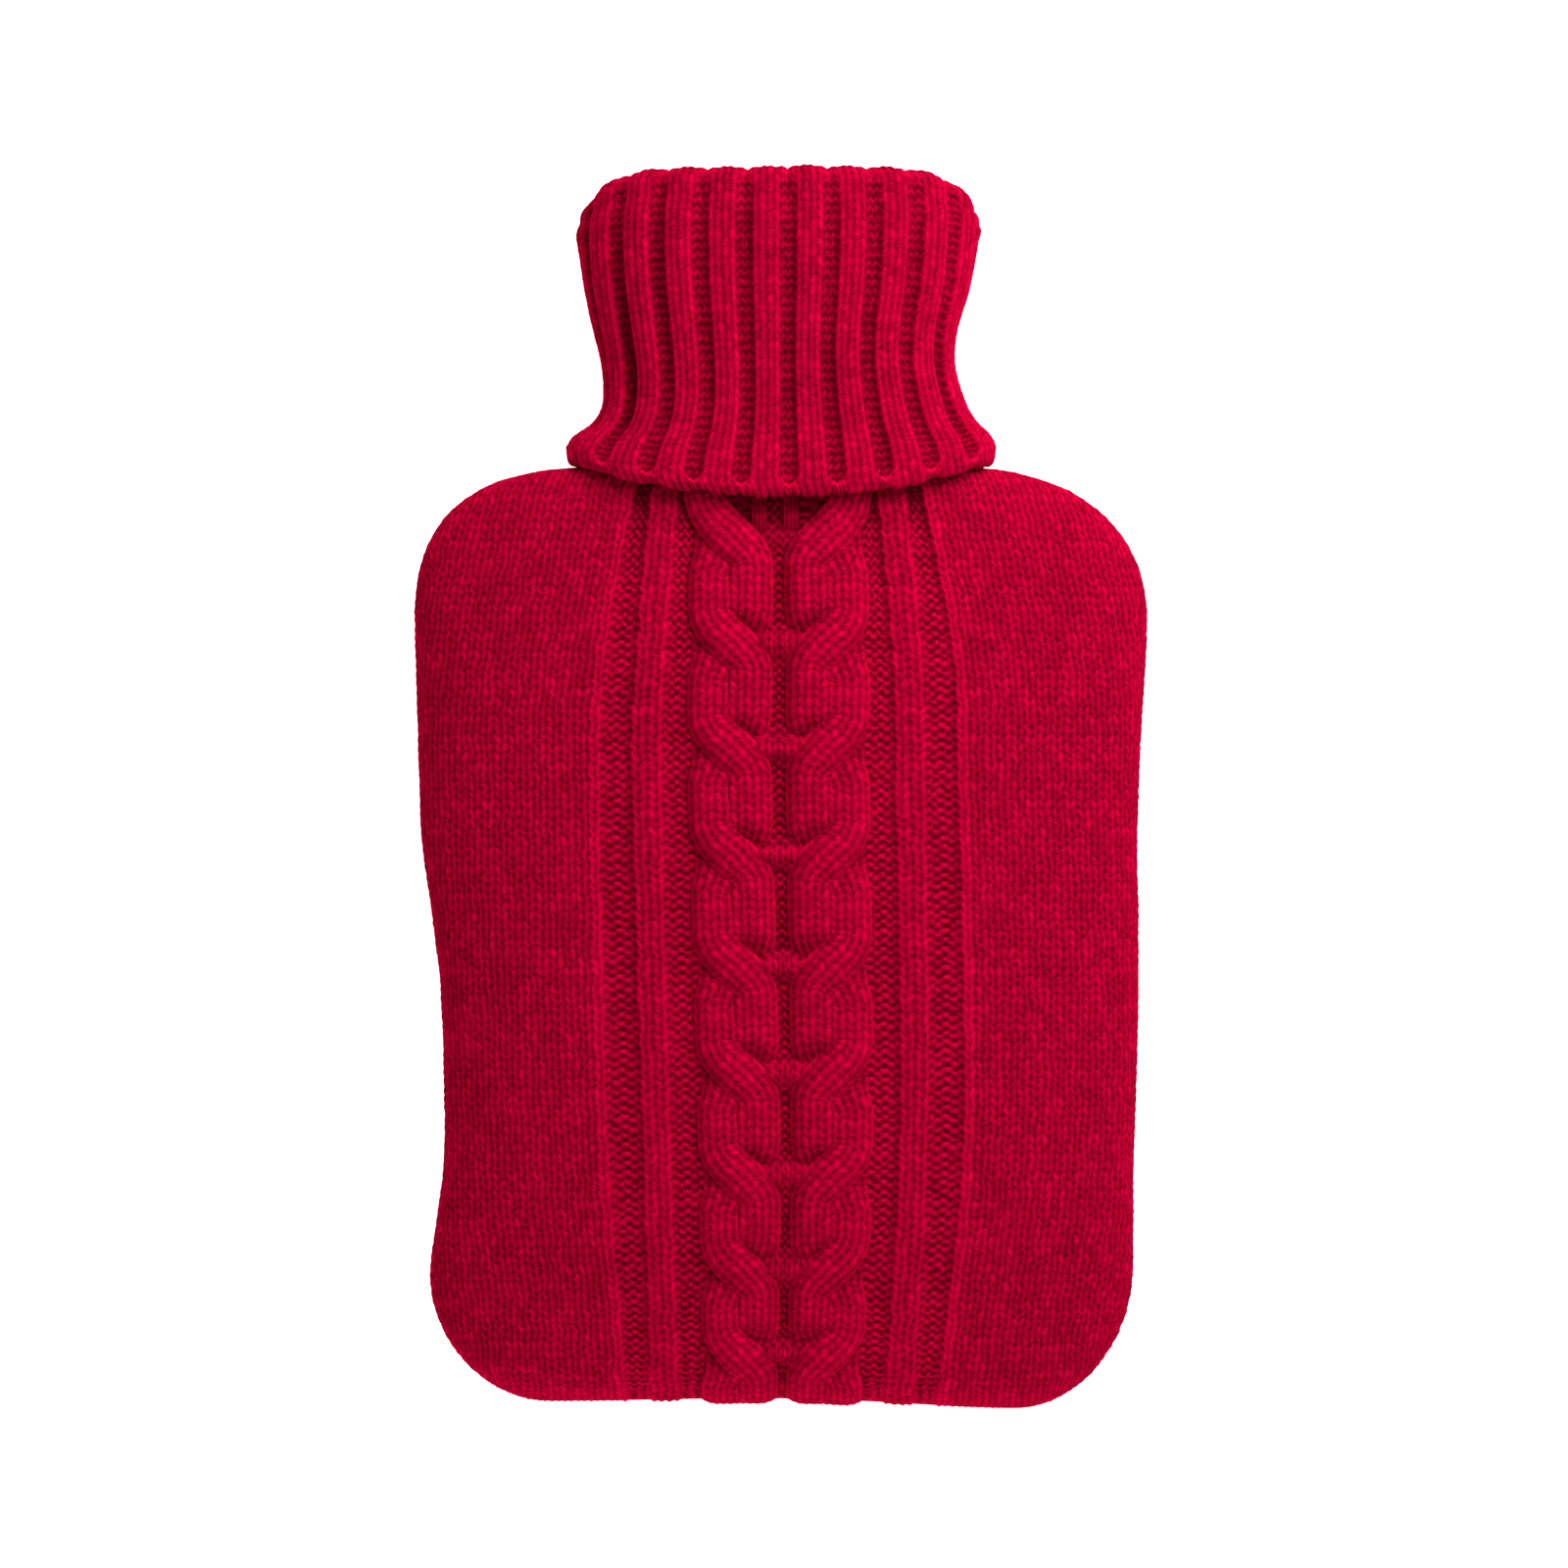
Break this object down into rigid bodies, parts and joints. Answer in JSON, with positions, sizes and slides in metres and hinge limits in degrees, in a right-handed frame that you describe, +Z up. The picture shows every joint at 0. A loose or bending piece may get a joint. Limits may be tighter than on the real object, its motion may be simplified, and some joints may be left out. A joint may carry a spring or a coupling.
{
  "type": "hot water bottle cover",
  "caption": "Knitted bag that slips over a hot water bottle, with rope cables down its front and a turned-down rib roll neck.",
  "frame": {"origin": "centre of the box's underside, on the surface that the cover lies on", "axes": "+Z up out of the cabled front, +Y along the cover towards its neck, +X to the right as seen from the front"},
  "size_m": [0.205, 0.3481, 0.0524],
  "materials": {
    "red_wool_cable_front": "soft matt wool knit",
    "red_wool_plain_back": "soft matt wool knit",
    "red_wool_rib_neck": "soft matt wool rib"
  },
  "bodies": {
    "root": {"front_panel": "red_wool_cable_front", "back_panel": "red_wool_plain_back", "roll_neck": "red_wool_rib_neck"}
  },
  "joints": []
}
